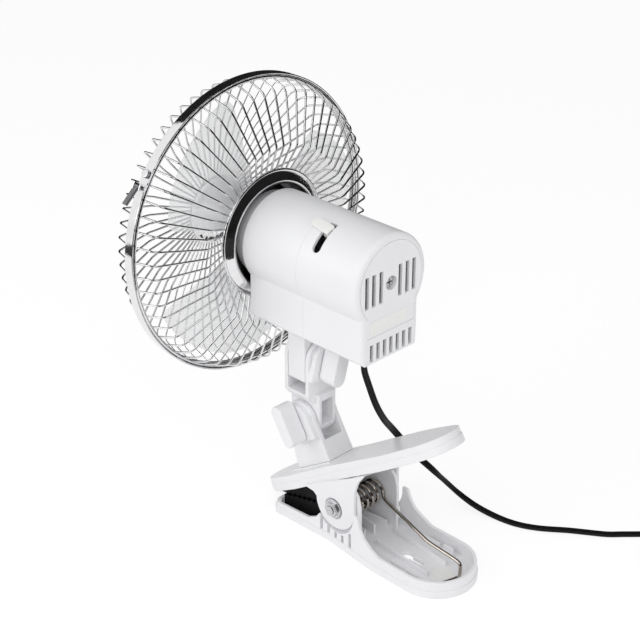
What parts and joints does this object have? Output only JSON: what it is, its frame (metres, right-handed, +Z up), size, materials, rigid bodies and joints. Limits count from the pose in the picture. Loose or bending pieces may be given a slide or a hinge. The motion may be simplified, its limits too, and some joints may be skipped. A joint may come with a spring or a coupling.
{
  "type": "clip-on oscillating vehicle fan",
  "caption": "Clip-on twelve volt car fan with a spring clamp, a two-pivot elbow, a swinging motor head, a chromed wire guard and a flat cord with a socket plug.",
  "frame": {"origin": "On the underside of the lower jaw, in the middle plane of the clamp, 4.4 mm behind the clamp bolt.", "axes": "Z up from the surface that the clamp lies on, -Y is where the fan blows and the jaw opens, +X is the side of the clamping knob of the tilt pivot."},
  "size_m": [0.2898, 0.3277, 0.2501],
  "materials": {
    "clamp_plastic": "glossy moulded ABS, cool white",
    "housing_plastic": "glossy moulded ABS, cool white",
    "lever_plastic": "glossy moulded ABS, warmer white",
    "pad_rubber": "matt black rubber",
    "zinc_steel": "zinc-plated steel",
    "spring_steel": "oiled spring wire, brownish grey",
    "guard_chrome": "bright chromed steel wire and sheet",
    "label_film": "blank silver-grey film",
    "black_plastic": "black moulded plastic",
    "cord_jacket": "black flexible vinyl",
    "bronze": "sintered bronze",
    "winding_copper": "enamelled copper winding",
    "gear_plastic": "natural acetal",
    "blade_plastic": "translucent frosted plastic",
    "contact_nickel": "nickel-plated contact"
  },
  "bodies": {
    "foot": {"lower_jaw": "clamp_plastic", "lower_pad": "pad_rubber", "clamp_bolt": "zinc_steel", "flange_nut": "zinc_steel", "jaw_spring": "spring_steel", "round_sticker": "label_film", "cord": "cord_jacket", "cord_coil": "cord_jacket", "cord_tie": "black_plastic", "plug_body": "black_plastic", "plug_tip": "contact_nickel", "plug_contacts": "contact_nickel"},
    "paddle": {"upper_jaw": "clamp_plastic", "upper_pad": "pad_rubber", "elbow_base": "clamp_plastic", "base_screws": "zinc_steel", "tilt_bolt": "zinc_steel"},
    "tilt_grip": {"tilt_knob": "clamp_plastic"},
    "link": {"middle_link": "clamp_plastic", "roll_bolt": "zinc_steel"},
    "roll_grip": {"roll_knob": "clamp_plastic"},
    "neck": {"neck_post": "clamp_plastic", "neck_arm": "zinc_steel", "neck_screw": "zinc_steel"},
    "fan_head": {"front_housing": "housing_plastic", "rear_housing": "housing_plastic", "housing_screw": "zinc_steel", "label_plate": "label_film", "motor_can": "zinc_steel", "motor_bushes": "bronze", "gearbox_frame": "black_plastic", "switch_body": "black_plastic", "dish_collar": "guard_chrome", "dish_screws": "zinc_steel", "rear_guard": "guard_chrome", "rear_ring": "guard_chrome", "rim_band": "guard_chrome", "band_screw": "zinc_steel", "front_guard": "guard_chrome", "front_ring": "guard_chrome", "front_cap": "guard_chrome", "strain_relief": "cord_jacket"},
    "lever": {"switch_lever": "lever_plastic"},
    "latch": {"guard_latch": "guard_chrome"},
    "rotor": {"motor_shaft": "zinc_steel", "armature": "winding_copper", "worm": "gear_plastic", "blades": "blade_plastic", "blade_nut": "housing_plastic"},
    "gear": {"worm_wheel": "gear_plastic", "crank_disc": "gear_plastic"},
    "rod": {"link_rod": "zinc_steel"}
  },
  "joints": [
    {"name": "jaw_open", "type": "hinge", "parent": "foot", "child": "paddle", "pos_m": [0, -0.0044, 0.0227], "axis": [-1, 0, 0], "range_deg": [0, 22], "stiffness_Nm_per_rad": 1.5, "springref_deg": -34.38, "deforming": ["jaw_spring", "cord"]},
    {"name": "tilt", "type": "hinge", "parent": "paddle", "child": "link", "pos_m": [0, -0.03942, 0.0624], "axis": [1, 0, 0], "range_deg": [-25, 30], "deforming": ["cord"]},
    {"name": "tilt_knob_turn", "type": "hinge", "parent": "paddle", "child": "tilt_grip", "pos_m": [0.018, -0.03942, 0.0624], "axis": [1, 0, 0], "range_deg": [0, 180]},
    {"name": "roll", "type": "hinge", "parent": "link", "child": "neck", "pos_m": [0, -0.04072, 0.101], "axis": [0, 1, 0], "range_deg": [-30, 30], "deforming": ["cord"]},
    {"name": "roll_knob_turn", "type": "hinge", "parent": "link", "child": "roll_grip", "pos_m": [0, -0.0225, 0.101], "axis": [0, 1, 0], "range_deg": [0, 180]},
    {"name": "swing", "type": "hinge", "parent": "neck", "child": "fan_head", "pos_m": [0, -0.04072, 0.1225], "axis": [0, 0, 1], "range_deg": [-35, 35], "deforming": ["cord"]},
    {"name": "rotor_spin", "type": "hinge", "parent": "fan_head", "child": "rotor", "pos_m": [0, -0.06, 0.164], "axis": [0, -1, 0], "continuous": true},
    {"name": "gear_turn", "type": "hinge", "parent": "fan_head", "child": "gear", "pos_m": [0.0114, -0.00972, 0.164], "axis": [0, 0, 1], "continuous": true},
    {"name": "rod_turn", "type": "hinge", "parent": "gear", "child": "rod", "pos_m": [0.0114, -0.01392, 0.1284], "axis": [0, 0, 1], "continuous": true},
    {"name": "lever_slide", "type": "hinge", "parent": "fan_head", "child": "lever", "pos_m": [0, -0.015, 0.164], "axis": [0, 1, 0], "range_deg": [0, 24]},
    {"name": "latch_open", "type": "hinge", "parent": "fan_head", "child": "latch", "pos_m": [0.07638, -0.08947, 0.2081], "axis": [0, -1, 0], "range_deg": [0, 60]}
  ],
  "couplings": [
    {"joint": "gear_turn", "follows": "rotor_spin", "ratio": 0.041667},
    {"joint": "rod_turn", "follows": "rotor_spin", "ratio": -0.041667}
  ]
}
